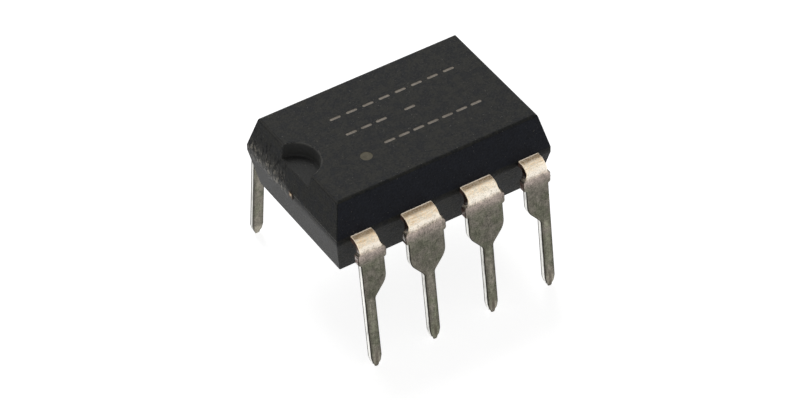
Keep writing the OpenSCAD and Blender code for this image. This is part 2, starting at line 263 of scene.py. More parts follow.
class Wiring:
    """Adds nodes to one tree and joins them, in columns from left to right."""

    def __init__(self, tree):
        self.tree = tree

    def node(self, kind, **settings):
        made = self.tree.nodes.new(kind)
        for key, value in settings.items():
            setattr(made, key, value)
        place = len(self.tree.nodes) - 1
        made.location = (place // 6 * 220, -(place % 6) * 240)
        return made

    def feed(self, socket, value):
        if isinstance(value, bpy.types.NodeSocket):
            self.tree.links.new(value, socket)
        elif value is not None:
            if socket.type == "RGBA" and len(value) == 3:
                value = (*value, 1.0)
            socket.default_value = value

    def result(self, kind, values, output=0, **settings):
        """One output of a new node whose inputs, by name or number, get the values."""
        made = self.node(kind, **settings)
        for title, value in values.items():
            self.feed(made.inputs[title], value)
        return made.outputs[output]

    def math(self, operation, *values):
        return self.result("ShaderNodeMath", dict(enumerate(values)), operation=operation)

    def vector(self, operation, *values, output=0):
        return self.result("ShaderNodeVectorMath", dict(enumerate(values)), output, operation=operation)

    def scaled(self, vector, factor):
        return self.result("ShaderNodeVectorMath", {0: vector, "Scale": factor}, operation="SCALE")

    def axes(self, vector):
        made = self.node("ShaderNodeSeparateXYZ")
        self.feed(made.inputs[0], vector)
        return tuple(made.outputs)

    def noise(self, point, scale, detail=2.0, roughness=0.5):
        values = {"Vector": point, "Scale": scale, "Detail": detail, "Roughness": roughness}
        return self.result("ShaderNodeTexNoise", values)

    def step(self, value, low, high):
        """0 below low and 1 above high, with a soft rise, or the other way round."""
        values = {"Value": value, "From Min": low, "From Max": high}
        return self.result("ShaderNodeMapRange", values, interpolation_type="SMOOTHSTEP")

    def band(self, value, low, high, soft):
        """1 between low and high, with soft ends."""
        rise = self.step(value, low - soft, low + soft)
        return self.product(rise, self.step(value, high + soft, high - soft))

    def product(self, *values):
        """The product of all values. For masks it is where all of them hold."""
        result = values[0]
        for value in values[1:]:
            result = self.math("MULTIPLY", result, value)
        return result

    def either(self, first, second):
        return self.math("MAXIMUM", first, second)

    def inverse(self, mask):
        return self.math("SUBTRACT", 1.0, mask)

    def absolute(self, value):
        return self.math("ABSOLUTE", value)

    def strayed(self, value, noise, amount):
        """The value moved to both sides by noise, up to half of amount."""
        return self.math("MULTIPLY_ADD", self.math("SUBTRACT", noise, 0.5), amount, value)

    def mix(self, factor, first, second, blend="MIX"):
        values = {0: factor, 6: first, 7: second}
        return self.result("ShaderNodeMix", values, 2, data_type="RGBA", blend_type=blend)

    def coats(self, paint, *coats):
        """The paint with coats laid over it in turn, each given by its mask and its colour."""
        for mask, over in coats:
            paint = self.mix(mask, paint, over)
        return paint

    def tint(self, first, second):
        """The first colour times the second, which may be a plain factor."""
        return self.mix(1.0, first, second, "MULTIPLY")

    def lerp(self, factor, first, second):
        return self.result("ShaderNodeMix", {0: factor, 2: first, 3: second}, data_type="FLOAT")

    def place(self, group, **values):
        made = self.node("ShaderNodeGroup", node_tree=group)
        for title, value in values.items():
            self.feed(made.inputs[title.replace("_", " ")], value)
        return made.outputs

    def grain(self, point, grain, mottle, speck, share):
        """Grain, mottling and specks, from their sizes in millimetres and the share of the specks."""
        sizes = {"Grain_Size": grain, "Mottle_Size": mottle, "Speck_Size": speck, "Speck_Share": share}
        return self.place(grain_group(), Point=point, **sizes)

    def streaks(self, point, density):
        return self.place(streak_group(), Point=point, Density=density)["Streak"]

    def coordinates(self):
        """The point in millimetres and the surface normal, both in the object's own axes."""
        made = self.node("ShaderNodeTexCoord")
        return self.scaled(made.outputs["Object"], 1 / MM), made.outputs["Normal"]


def empty_tree(owner):
    """The wiring of a material or a world, without any node yet."""
    owner.use_nodes = True
    owner.node_tree.nodes.clear()
    return Wiring(owner.node_tree)


def shared_group(title, inputs, outputs, wire):
    """A node group that is built once and then placed in each material."""
    group = bpy.data.node_groups.get(title)
    if group:
        return group
    group = bpy.data.node_groups.new(title, "ShaderNodeTree")
    for name, default in inputs.items():
        kind = "NodeSocketFloat" if isinstance(default, float) else "NodeSocketVector"
        group.interface.new_socket(name, in_out="INPUT", socket_type=kind).default_value = default
    for name in outputs:
        group.interface.new_socket(name, in_out="OUTPUT", socket_type="NodeSocketFloat")
    wiring = Wiring(group)
    start = wiring.node("NodeGroupInput")
    results = wire(wiring, start.outputs)
    end = wiring.node("NodeGroupOutput")
    for name, value in results.items():
        wiring.feed(end.inputs[name], value)
    return group


def grain_group():
    """Fine grain, soft mottling and sparse specks, each of a size in millimetres."""

    def wire(w, given):
        point = given["Point"]
        grain = w.noise(point, w.math("DIVIDE", 1.0, given["Grain Size"]), 3.0, 0.6)
        mottle = w.noise(point, w.math("DIVIDE", 1.0, given["Mottle Size"]), 3.0, 0.55)
        elsewhere = w.vector("ADD", point, (31.0, 17.0, 5.0))
        spot = w.noise(elsewhere, w.math("DIVIDE", 1.0, given["Speck Size"]), 1.0)
        limit = w.math("SUBTRACT", 1.0, given["Speck Share"])
        speck = w.step(spot, limit, w.math("ADD", limit, 0.03))
        return {"Grain": grain, "Mottle": mottle, "Speck": speck}

    sizes = {"Grain Size": 0.06, "Mottle Size": 0.5, "Speck Size": 0.08, "Speck Share": 0.2}
    inputs = {"Point": (0.0, 0.0, 0.0), **sizes}
    return shared_group("Grain and specks", inputs, ("Grain", "Mottle", "Speck"), wire)


def streak_group():
    """Drawn or brushed marks: noise that is stretched by its own density along each axis."""

    def wire(w, given):
        stretched = w.vector("MULTIPLY", given["Point"], given["Density"])
        wide = w.noise(stretched, 1.0, 4.0, 0.65)
        fine = w.noise(w.scaled(stretched, 3.1), 1.0, 2.0, 0.5)
        return {"Streak": w.lerp(0.35, wide, fine)}

    inputs = {"Point": (0.0, 0.0, 0.0), "Density": (1.0, 8.0, 8.0)}
    return shared_group("Drawn streaks", inputs, ("Streak",), wire)


def edge_group():
    """Where a surface turns between two faces, found from its normal."""

    def wire(w, given):
        x, y, z = w.axes(w.vector("ABSOLUTE", given["Normal"]))
        flat = w.either(w.either(x, y), z)
        return {"Edge": w.step(flat, given["Start"], given["Full"])}

    inputs = {"Normal": (0.0, 0.0, 1.0), "Start": 0.93, "Full": 0.84}
    return shared_group("Turning edges", inputs, ("Edge",), wire)


def new_material(title, metallic, specular):
    """An empty material with its shader, and the wiring to fill it."""
    material = bpy.data.materials.new(title)
    wiring = empty_tree(material)
    shader = wiring.node("ShaderNodeBsdfPrincipled")
    result = wiring.node("ShaderNodeOutputMaterial")
    wiring.feed(result.inputs["Surface"], shader.outputs[0])
    shader.inputs["Metallic"].default_value = metallic
    shader.inputs["Specular IOR Level"].default_value = specular
    return material, wiring, shader.inputs


def shade(w, shader, paint, roughness, height, depth, strength):
    """Gives a shader its colour, its roughness and a fine relief of a depth in metres."""
    w.feed(shader["Base Color"], paint)
    w.feed(shader["Roughness"], roughness)
    relief = {"Strength": strength, "Distance": depth, "Height": height}
    w.feed(shader["Normal"], w.result("ShaderNodeBump", relief))


def scale_rgb(value, factor):
    return tuple(min(1.0, part * factor) for part in value)


def moulding_material(title, sizes, wear_all=0.0):
    """Matt epoxy compound with grain, specks, worn edges, a parting line and the scraped gate end, with
    painted shade on the long faces and the underside, painted light in the notch and a painted highlight on
    the top edge at the notch end.
    """
    material, w, shader = new_material(title, 0.0, 0.125)
    point, normal = w.coordinates()
    x, y, z = w.axes(point)
    nx, ny, nz = w.axes(normal)
    grain = w.grain(point, 0.08, 0.34, 0.07, 0.26)
    tone = w.lerp(0.5, grain["Mottle"], grain["Grain"])
    broken = w.step(w.lerp(0.4, grain["Mottle"], grain["Grain"]), 0.4, 0.56)
    paint = w.mix(w.step(tone, 0.38, 0.62), sizes.dark_grain, sizes.light_grain)
    # The long faces above the band are painted darker and bluer: painted shade with a painted reflection of
    # the sky
    shaded_long_sides = w.product(w.step(w.absolute(ny), 0.8, 0.9), w.step(z, *ABOVE_BAND))
    paint = w.mix(shaded_long_sides, paint, w.tint(paint, LONG_SIDE_SHADE_TINT))

    from_notch = w.vector("ADD", point, (-notch_middle(sizes), 0.0, 0.0))
    from_notch = w.vector("LENGTH", w.vector("MULTIPLY", from_notch, (1.0, 1.0, 0.0)), output=1)
    rim, top = sizes.notch_radius, sizes.top
    # The notch is painted paler than the compound, its upward floor more than its wall: painted light
    in_notch = w.product(w.step(from_notch, rim + 0.06, rim + 0.03), w.step(z, top - 0.02, top - 0.06))
    mouth = w.product(w.step(nx, -0.94, -0.96), w.step(x, *NOTCH_MOUTH))
    pale = w.mix(w.step(nz, 0.3, 0.7), scale_rgb(sizes.compound, 4.5), scale_rgb(sizes.compound, 2.2))
    # Faces that turn downwards are painted darker: painted shade of the underside
    under = w.step(nz, -0.27, -0.4)

    turning = w.place(edge_group(), Normal=normal, Start=0.93, Full=0.8)["Edge"]
    # The rounding of the top edge at the notch end takes the worn colour, partly worn compound and partly a
    # painted highlight that lifts the shade of the rounding
    worn = w.product(turning, w.step(nz, 0.3, 0.6), w.step(nx, -0.2, -0.5), w.step(z, *TOP_EDGE))
    worn = w.either(worn, w.product(broken, wear_all))
    end = w.product(w.step(x, *NOTCH_END), w.step(nx, -0.5, -0.8))
    wavy = w.math("MULTIPLY_ADD", grain["Mottle"], 0.05, z)
    line = w.product(end, w.band(wavy, *PARTING_LINE, 0.01), broken)

    gate = w.product(end, w.band(y, *GATE_ACROSS, 0.3))
    scratches = w.streaks(point, (1.0, 11.0, 2.0))
    ragged = w.strayed(z, scratches, 2.8)
    gouged = w.product(gate, w.band(ragged, *GATE_GOUGED, 0.35), w.step(scratches, 0.5, 0.42))
    scraped = w.product(gate, w.band(ragged, *GATE_SCRAPED, 0.35), w.step(scratches, 0.46, 0.54))
    lumps = w.noise(w.vector("MULTIPLY", point, (4.0, 8.0, 4.5)), 1.0, 3.0, 0.6)
    dust = w.product(gate, w.band(z, *GATE_DUSTY, 0.2), w.step(lumps, 0.52, 0.62))
    paint = w.coats(
        paint,
        # Painted light in the notch
        (w.product(in_notch, w.inverse(mouth)), pale),
        # Painted shade on the downward faces
        (under, scale_rgb(sizes.compound, 0.4)),
        # Worn colour on the notch lip and on the top edge at the notch end, where it is partly a painted
        # highlight
        (w.product(worn, 0.5 + 0.4 * wear_all), sizes.worn),
        (w.product(line, 0.6), scale_rgb(sizes.worn, 3.0)),
        (gouged, scale_rgb(sizes.compound, 0.3)),
        (scraped, scale_rgb(sizes.worn, 1.5)),
        (w.product(dust, 0.8), DUST),
        (w.product(grain["Speck"], 0.4), SPECK),
    )
    rough = w.lerp(grain["Mottle"], 0.4, 0.56)
    rough = w.math("MULTIPLY_ADD", w.product(end, w.step(z, *UPPER_END)), 0.14, rough)
    rough = w.either(rough, w.product(w.either(gouged, under), 0.92))
    height = w.math("ADD", grain["Grain"], w.product(w.either(scraped, dust), 0.8))
    shade(w, shader, paint, rough, height, 0.000022, 0.9)
    return material


def etched_material(title, pale):
    """Compound that a laser has burnt pale, a little uneven along each stroke."""
    material, w, shader = new_material(title, 0.0, 0.2)
    grain = w.grain(w.coordinates()[0], 0.035, 0.22, 0.05, 0.24)
    tone = w.lerp(0.5, grain["Mottle"], grain["Grain"])
    paint = w.mix(w.step(tone, 0.3, 0.66), scale_rgb(pale, 0.62), scale_rgb(pale, 1.22))
    shade(w, shader, paint, w.lerp(grain["Grain"], 0.6, 0.85), grain["Grain"], 0.000006, 0.6)
    return material


def tin_surface(w, body):
    """The places, noises and masks that all parts of a lead's finish share."""
    point, normal = w.coordinates()
    s = SimpleNamespace(wall=body.body_width / 2)
    s.x, y, s.z = w.axes(point)
    nx, ny, nz = w.axes(normal)
    s.away = w.absolute(y)
    s.far_row = w.step(y, -1.0, 1.0)
    pitch = to_mm(PITCH)
    s.from_middle = w.absolute(w.math("SUBTRACT", w.math("MODULO", w.absolute(s.x), pitch), pitch / 2))

    grain = w.grain(point, 0.055, 0.22, 0.09, 0.3)
    s.fine, s.mottle = grain["Grain"], grain["Mottle"]
    s.drawn = w.streaks(point, (2.6, 14.0, 14.0))
    s.down = w.streaks(point, (8.0, 3.0, 0.9))
    s.patches = w.noise(w.vector("ADD", point, (7.0, 3.0, 9.0)), 3.4, 4.0, 0.65)
    cloud = w.noise(w.vector("ADD", point, (2.0, 5.0, 1.0)), 1.9, 2.0, 0.5)
    s.hue = w.step(w.lerp(0.65, s.patches, cloud), 0.4, 0.58)
    s.tone = w.lerp(0.65, s.mottle, s.fine)
    s.mixed = w.lerp(0.35, s.tone, w.streaks(point, (22.0, 4.0, 2.4)))

    outward = w.product(ny, w.math("SIGN", y))
    s.facing = w.step(w.math("ADD", outward, nz), 0.05, 0.4)
    across = w.absolute(nx)
    s.side = w.step(across, 0.8, 0.93)
    s.edge = w.product(w.step(across, 0.3, 0.65), w.inverse(s.side))
    s.uneven = w.strayed(s.z, w.lerp(0.5, s.tone, s.patches), 0.42)
    s.wavy = w.strayed(s.away, w.lerp(0.5, s.tone, s.drawn), 0.5)
    s.bend = w.step(s.uneven, *BEND_START)
    s.on_pin = w.step(s.z, *PIN_START)
    return s


def tin_flats(w, sizes, s):
    """Colour of the dark mottled flats, partly dull tin and partly a painted reflection of the shaded
    floor, paler below the bend as a painted reflection of the bend, and paler at the tips and down each
    pin's middle.
    """
    flat = w.mix(s.hue, sizes.flat_olive, sizes.flat_grey)
    brown = w.product(w.step(s.z, *UNDER_BEND_BROWN), w.step(s.tone, 0.3, 0.5))
    flat = w.mix(brown, flat, sizes.flat_brown)
    light = w.lerp(w.step(s.mixed, 0.34, 0.66), 0.54, 1.62)
    for value, span, before, after in (
        # Lighter towards the bend: a painted reflection of the bend fading into the flat
        (s.z, SHOULDER_REFLECTION, 0.9, 1.55),
        (s.z, UNDER_BEND_REFLECTION, 1.0, 1.4),
        (s.patches, (0.38, 0.62), 0.9, 1.12),
        (s.z, TIP_LIGHT, 1.0, 1.5),
    ):
        light = w.product(light, w.lerp(w.step(value, *span), before, after))
    pin = sizes.pin_width / 2
    rim = w.product(s.on_pin, w.step(s.from_middle, pin * 0.5, pin * 0.9), w.step(s.down, 0.25, 0.5))
    crown = w.product(s.on_pin, w.step(s.from_middle, pin * 0.55, pin * 0.2), w.step(s.down, 0.36, 0.56))
    crowned = w.lerp(crown, 1.0, w.lerp(s.far_row, 1.42, 1.15))
    light = w.product(light, w.math("SUBTRACT", crowned, w.product(rim, 0.42)))
    light = w.product(light, w.lerp(w.inverse(s.facing), w.lerp(s.on_pin, 1.0, 1.22), 1.4))
    return w.tint(flat, light)


def tin_bend(w, sizes, s):
    """Colour of the stretched tin, with warm streaks, a painted highlight low down and dull near the body.
    """
    warm = w.math("MULTIPLY_ADD", w.step(s.x, -2.4, 1.4), -0.035, w.lerp(0.5, s.drawn, s.tone))
    warm = w.math("MULTIPLY_ADD", w.step(s.away, s.wall + 0.1, s.wall + 0.5), -0.04, warm)
    bright = w.mix(w.step(warm, 0.36, 0.58), sizes.bend_pale, sizes.bend_warm)
    fleck = w.lerp(w.step(s.fine, 0.4, 0.56), 0.74, 1.05)
    fleck = w.product(fleck, w.lerp(w.step(s.mottle, 0.38, 0.54), 0.9, 1.05))
    # A painted highlight across the lower bend, flecked by the tin's tone
    bend_highlight = w.product(w.band(s.uneven, *BEND_HIGHLIGHT_SPAN, 0.09), w.step(s.tone, 0.34, 0.5))
    dull = w.product(w.step(s.wavy, s.wall + 0.34, s.wall + 0.22), w.step(s.fine, 0.4, 0.6))
    return w.coats(w.tint(bright, fleck), (w.product(bend_highlight, 0.6), BEND_HIGHLIGHT_TIN), (dull, DULL_TIN))


def tin_sides(w, sizes, body, s):
    """Colour of the sheared sides: a clean bright cut beside a dark torn strip, and stains on the stubs and
    on the bend's sides, there partly stain and partly painted shade.
    """
    slope = math.tan(sizes.splay)
    bend_outer = sizes.bend_radius + sizes.thickness
    leg_y = s.wall + sizes.reach + bend_outer * math.cos(sizes.splay)
    leg_z = body.band_low - sizes.bend_radius + bend_outer * math.sin(sizes.splay)
    depth = w.math("SUBTRACT", leg_y + leg_z * slope, w.math("MULTIPLY_ADD", s.z, slope, s.away))
    torn = w.strayed(depth, s.down, 0.05)
    thick = sizes.thickness
    clean_cut = w.product(
        w.band(torn, thick * 0.18, thick * 0.77, 0.012),
        w.either(w.inverse(s.far_row), w.step(torn, thick * 0.36, thick * 0.48)),
    )
    sheared = w.mix(w.step(s.down, 0.34, 0.58), scale_rgb(sizes.sheared, 0.6), sizes.sheared)
    sheared = w.tint(sheared, w.lerp(s.far_row, 1.0, 0.8))
    sheared = w.mix(clean_cut, scale_rgb(sizes.flat_grey, 0.35), sheared)
    high = w.either(s.bend, w.band(s.z, *STUB_LEVELS, 0.05))
    patchy = w.step(w.math("MULTIPLY_ADD", s.bend, 0.2, s.mottle), 0.3, 0.5)
    return w.mix(w.product(high, patchy), sheared, sizes.stain)


def tin_material(sizes, body):
    """Tinned copper alloy: bright stretched bends with painted highlights, dark mottled flats that are
    partly dull tin and partly a painted reflection of the shaded floor, and bright sheared sides.
    """
    material, w, shader = new_material("Tinned lead", 1.0, 0.5)
    s = tin_surface(w, body)
    flat = tin_flats(w, sizes, s)
    bent = tin_bend(w, sizes, s)
    middle = w.step(s.from_middle, *STREAK_ACROSS)
    streak = w.product(w.step(s.z, *TIP_STREAK), middle, w.step(s.tone, 0.36, 0.5))
    # A pale line along the bend next to the body wall: a painted highlight
    wall_highlight = w.product(w.band(s.away, s.wall - 0.1, s.wall + 0.05, 0.02), s.bend)
    outer = w.coats(flat, (s.bend, bent), (w.product(streak, 0.75), PIN_STREAK), (wall_highlight, WALL_HIGHLIGHT_TIN))
    paint = w.coats(
        # Faces that turn inwards take the dark stain colour on the bend, partly stain and partly painted
        # shade
        w.mix(s.bend, flat, sizes.stain),
        (s.facing, outer),
        # The legs' rounded edges are painted dark as painted shade, and the bend's outer rounded edges take
        # the bright bend colour as a painted highlight
        (w.product(s.edge, w.inverse(s.bend)), scale_rgb(sizes.flat_grey, 0.3)),
        (w.product(s.edge, s.bend, s.facing), sizes.bend_pale),
        (s.side, tin_sides(w, sizes, body, s)),
    )
    frosted = w.either(w.step(s.wavy, s.wall + 0.3, s.wall + 0.15), w.product(s.edge, s.facing))
    frosted = w.product(s.bend, frosted)
    rough = w.lerp(w.step(s.mixed, 0.3, 0.7), 0.36, 0.52)
    rough = w.lerp(s.bend, rough, w.lerp(s.drawn, 0.2, 0.4))
    rough = w.lerp(w.either(frosted, s.edge), rough, 0.8)
    height = w.math("ADD", w.product(s.bend, s.drawn), w.product(s.fine, 0.9))
    shade(w, shader, paint, rough, height, 0.000011, 0.6)
    return material


def brushed_metal(title, dark, bright, density, roughness):
    """Plain metal with drawn marks, stained round the middle of a tie bar's cut end."""
    material, w, shader = new_material(title, 1.0, 0.5)
    point = w.coordinates()[0]
    x, y, z = w.axes(point)
    grain = w.grain(point, 0.03, 0.3, 0.05, 0.25)
    drawn = w.streaks(point, density)
    paint = w.mix(w.step(w.lerp(0.5, drawn, grain["Mottle"]), 0.35, 0.62), dark, bright)
    rim = w.either(w.step(w.absolute(y), *TIE_CLEAN_ACROSS), w.inverse(w.band(z, *TIE_CLEAN, 0.03)))
    paint = w.mix(w.product(w.step(w.absolute(x), *TIE_END), rim), paint, scale_rgb(dark, 0.4))
    rough = w.lerp(drawn, roughness * 0.8, roughness * 1.3)
    shade(w, shader, paint, rough, w.math("ADD", drawn, grain["Grain"]), 0.000004, 0.5)
    return material


def glue_material():
    """Silver-filled glue, flaky and slightly glossy."""
    material, w, shader = new_material("Die glue", 0.35, 0.4)
    grain = w.grain(w.coordinates()[0], 0.018, 0.15, 0.03, 0.36)
    paint = w.mix(grain["Mottle"], (0.42, 0.42, 0.41), (0.62, 0.62, 0.6))
    paint = w.mix(grain["Speck"], paint, (0.86, 0.86, 0.84))
    shade(w, shader, paint, w.lerp(grain["Speck"], 0.55, 0.28), grain["Grain"], 0.000004, 0.6)
    return material


def silicon_material():
    """Silicon with plain blocks of circuitry on its upper face and a sawn edge."""
    material, w, shader = new_material("Silicon die", 0.2, 0.6)
    point, normal = w.coordinates()
    grain = w.grain(point, 0.012, 0.2, 0.02, 0.2)
    sawn = w.streaks(point, (2.0, 2.0, 60.0))
    blocks = {
        "Vector": point, "Scale": 1.0, "Mortar Size": 0.012, "Brick Width": 0.23, "Row Height": 0.11,
        "Color1": (0.16, 0.2, 0.3), "Color2": (0.3, 0.24, 0.34), "Mortar": (0.55, 0.52, 0.42),
    }
    circuit = w.result("ShaderNodeTexBrick", blocks, "Color", offset=0.0, squash=1.0)
    top = w.step(w.axes(normal)[2], 0.6, 0.9)
    paint = w.mix(top, w.mix(sawn, (0.16, 0.17, 0.19), (0.3, 0.31, 0.33)), circuit)
    rough = w.lerp(top, w.lerp(sawn, 0.45, 0.7), w.lerp(grain["Mottle"], 0.12, 0.2))
    shade(w, shader, paint, rough, w.product(sawn, w.inverse(top)), 0.000003, 0.5)
    return material


def in_mm(group):
    """The sizes of a group, with its lengths in millimetres and its colours as plain tuples."""
    values = {}
    for name in type(group).__annotations__:
        value = getattr(group, name)
        if group.bl_rna.properties[name].unit == "LENGTH":
            value = to_mm(value)
        values[name] = value if isinstance(value, (int, float)) else tuple(value)
    return SimpleNamespace(**values)


def new_object(title, bm, materials=()):
    mesh = bpy.data.meshes.new(title)
    bm.to_mesh(mesh)
    bm.free()
    for material in materials:
        mesh.materials.append(material)
    made = bpy.data.objects.new(title, mesh)
    bpy.context.scene.collection.objects.link(made)
    return made


def add_modifier(piece, kind, **settings):
    """Adds a modifier and applies it at once."""
    modifier = piece.modifiers.new(kind.title(), kind)
    for key, value in settings.items():
        setattr(modifier, key, value)
    bpy.context.view_layer.update()
    seen = piece.evaluated_get(bpy.context.evaluated_depsgraph_get())
    result = bpy.data.meshes.new_from_object(seen)
    old = piece.data
    piece.modifiers.clear()
    piece.data = result
    result.name = piece.name
    bpy.data.meshes.remove(old)


def combine(piece, operation, bm):
    """Cuts a closed mesh from the piece or joins it to the piece."""
    tool = new_object("tool", bm)
    add_modifier(piece, "BOOLEAN", operation=operation, solver="EXACT", material_mode="INDEX", object=tool)
    mesh = tool.data
    bpy.data.objects.remove(tool)
    bpy.data.meshes.remove(mesh)


def finish_piece(piece, nodes):
    """Evens the shading of flat faces, scales the piece to metres and ties it to the frame."""
    piece.data.shade_smooth()
    piece.data.set_sharp_from_angle(angle=SHARP_ANGLE)
    add_modifier(piece, "WEIGHTED_NORMAL", keep_sharp=True, weight=80)
    piece.data.transform(Matrix.Scale(MM, 4))
    piece.data.update()
    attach(piece, "root")
    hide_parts(*nodes)


def skin(bm, rings, materials=None):
    """Joins rings of the same size into one closed skin, with a material for each ring."""
    made = [[bm.verts.new(point) for point in ring] for ring in rings]
    materials = materials or [0] * len(rings)
    bm.faces.new(reversed(made[0])).material_index = materials[0]
    bm.faces.new(made[-1]).material_index = materials[-1]
    for below, above, material in zip(made, made[1:], materials[1:]):
        for k in range(len(below)):
            n = (k + 1) % len(below)
            bm.faces.new((below[k], below[n], above[n], above[k])).material_index = material
    bmesh.ops.recalc_face_normals(bm, faces=bm.faces[:])


def drafted(half, distance, draft):
    return half - distance * math.tan(draft)


def notch_middle(sizes):
    """Place of the notch's axis along the body, in millimetres."""
    rise = sizes.top - sizes.band_high
    edge = drafted(sizes.body_length / 2, rise, sizes.upper_end_draft)
    return -edge - sizes.notch_offset


def block_mesh(sizes):
    """The drafted block, with a bevel weight on each edge that is rounded."""
    half_x, half_y = sizes.body_length / 2, sizes.body_width / 2
    fall = sizes.band_low - sizes.underside
    rise = sizes.top - sizes.band_high
    levels = [
        (sizes.underside, drafted(half_x, fall, sizes.lower_end_draft),
         drafted(half_y, fall, sizes.lower_side_draft)),
        (sizes.band_low, half_x, half_y),
        (sizes.band_high, half_x, half_y),
        (sizes.top, drafted(half_x, rise, sizes.upper_end_draft),
         drafted(half_y, rise, sizes.upper_side_draft)),
    ]
    bm = bmesh.new()
    corners = ((1, 1), (-1, 1), (-1, -1), (1, -1))
    skin(bm, [[(sx * hx, sy * hy, z) for sx, sy in corners] for z, hx, hy in levels])
    rounding = {round(sizes.top, 4): sizes.top_round, round(sizes.underside, 4): sizes.under_round}
    weight = bm.edges.layers.float.new("bevel_weight_edge")
    for edge in bm.edges:
        ends = {round(vert.co.z, 4) for vert in edge.verts}
        width = sizes.corner_round if len(ends) == 2 else rounding.get(ends.pop(), 0.0)
        edge[weight] = width / sizes.top_round
    return bm


def revolve(bm, centre, profile, steps=96):
    """A closed turned shape from (radius, height, material) points, listed from the bottom up."""
    turns = [2 * math.pi * k / steps for k in range(steps)]
    rings = [
        [(centre[0] + radius * math.cos(a), centre[1] + radius * math.sin(a), height) for a in turns]
        for radius, height, _ in profile
    ]
    skin(bm, rings, [material for _, _, material in profile])


def notch_profile(sizes):
    """Floor, filleted corner, drafted wall and worn lip of the notch."""
    top, lip, rim = sizes.top, sizes.notch_lip, sizes.notch_radius
    floor = top - sizes.notch_depth
    floor_r = rim - sizes.notch_depth * math.tan(sizes.notch_draft) - NOTCH_FILLET
    profile = [(floor_r, floor, 0)]
    for k in range(1, 5):
        a = math.radians(90 * k / 4)
        out, up = NOTCH_FILLET * math.sin(a), NOTCH_FILLET * (1 - math.cos(a))
        profile.append((floor_r + out, floor + up, 0))
    profile.append((rim - lip * 0.3, top - lip, 0))
    profile.append((rim + lip * 0.3, top - lip * 0.3, 1))
    profile.append((rim + lip, top, 1))
    profile.append((rim + lip * 2, top + 2 * PAST, 1))
    return profile


def stadium(bm, x, y, length_mm, width_mm, low, high, material, steps=8):
    """A bar with round ends, as a cutter."""
    radius = width_mm / 2
    outline = []
    for side in (1, -1):
        for k in range(steps + 1):
            a = math.radians(-90 + 180 * k / steps)
            px = (length_mm / 2 - radius + radius * math.cos(a)) * side
            outline.append((x + px, y + radius * math.sin(a) * side))
    skin(bm, [[(px, py, z) for px, py in outline] for z in (low, high)], [material, material])


# Rows of plain dashes on the top face, as (first place, pitch, count, distance across)
DASH_ROWS = (
    (-1.95, 0.70, 8, 1.17),
    (-1.88, 0.64, 3, 0.17),
    (0.62, 0.64, 1, 0.17),
    (-0.95, 0.62, 7, -0.95),
)
DOT_PLACE = (-2.10, -1.2)


class CHIP_OT_body(Operator):
    """Draw the moulded body with its notch and its ejector marks"""

    bl_idname = "chip.body"
    bl_label = "Moulded body"

    def execute(self, context):
        sizes = in_mm(context.scene.chip_body)
        marks = in_mm(context.scene.chip_marks)
        materials = [
            moulding_material("Moulding", sizes),
            moulding_material("Worn lip", sizes, wear_all=1.0),
            etched_material("Etched compound", marks.etched),
            etched_material("Etched dot", marks.dot),
        ]
        body = new_object("moulded_body", block_mesh(sizes), materials)
        add_modifier(
            body, "BEVEL", limit_method="WEIGHT", width=sizes.top_round, segments=5, use_clamp_overlap=True
        )
        cutters = bmesh.new()
        revolve(cutters, (notch_middle(sizes), 0.0), notch_profile(sizes))
        low, radius = sizes.underside, sizes.ejector_radius
        mark_top = low + sizes.ejector_depth
        mark = [
            (radius, low - 2 * PAST, 0),
            (radius, mark_top - EJECTOR_EDGE_HEIGHT, 0),
            (radius - EJECTOR_EDGE_WIDTH, mark_top, 0),
        ]
        for side in (-1, 1):
            revolve(cutters, (side * sizes.ejector_spacing / 2, 0.0), mark)
        combine(body, "DIFFERENCE", cutters)
        if len(body.data.polygons) < LEAST_BODY_FACES:
            raise RuntimeError("The notch was not cut from the body")
        body["chip_unfinished"] = True
        return {"FINISHED"}


class CHIP_OT_marks(Operator):
    """Etch the plain dashes and the dot into the top face, and finish the body"""

    bl_idname = "chip.marks"
    bl_label = "Etched marks"

    def execute(self, context):
        sizes = in_mm(context.scene.chip_marks)
        body = bpy.data.objects.get("moulded_body")
        if body is None or not body.get("chip_unfinished"):
            raise RuntimeError("Draw the moulded body before its marks")
        top = to_mm(context.scene.chip_body.top)
        low, high = top - sizes.mark_depth, top + PAST
        cutters = bmesh.new()
        for first, pitch, count, across in DASH_ROWS:
            for k in range(count):
                place = first + pitch * k
                stadium(cutters, place, across, sizes.dash_length, sizes.dash_width, low, high, 2)
        revolve(cutters, DOT_PLACE, [(sizes.dot_radius, low, 3), (sizes.dot_radius, high, 3)], steps=40)
        combine(body, "DIFFERENCE", cutters)
        del body["chip_unfinished"]
        finish_piece(body, ["body"])
        return {"FINISHED"}


def fillet_points(a, b, c, radius, steps=6):
    """Points that round the corner b between a and c."""
    a, b, c = Vector(a), Vector(b), Vector(c)
    u, v = (a - b).normalized(), (c - b).normalized()
    half = math.acos(max(-1.0, min(1.0, u.dot(v)))) / 2
    centre = b + (u + v).normalized() * radius / math.sin(half)
    start = b + u * radius / math.tan(half) - centre
    end = b + v * radius / math.tan(half) - centre
    turn = math.pi - 2 * half
    points = []
    for k in range(steps + 1):
        t = k / steps
        spoke = start * math.sin((1 - t) * turn) + end * math.sin(t * turn)
        points.append(tuple(centre + spoke / math.sin(turn)))
    return points


# Outline of a torn stub from its bottom up, as shares of its height and of its width
STUB_OUTLINE = (
    (0.0, 0.0), (0.03, 0.55), (0.09, 0.86), (0.2, 0.97), (0.36, 0.9), (0.5, 1.0), (0.66, 0.92),
    (0.82, 0.98), (0.92, 0.8), (0.98, 0.45), (1.0, 0.0),
)


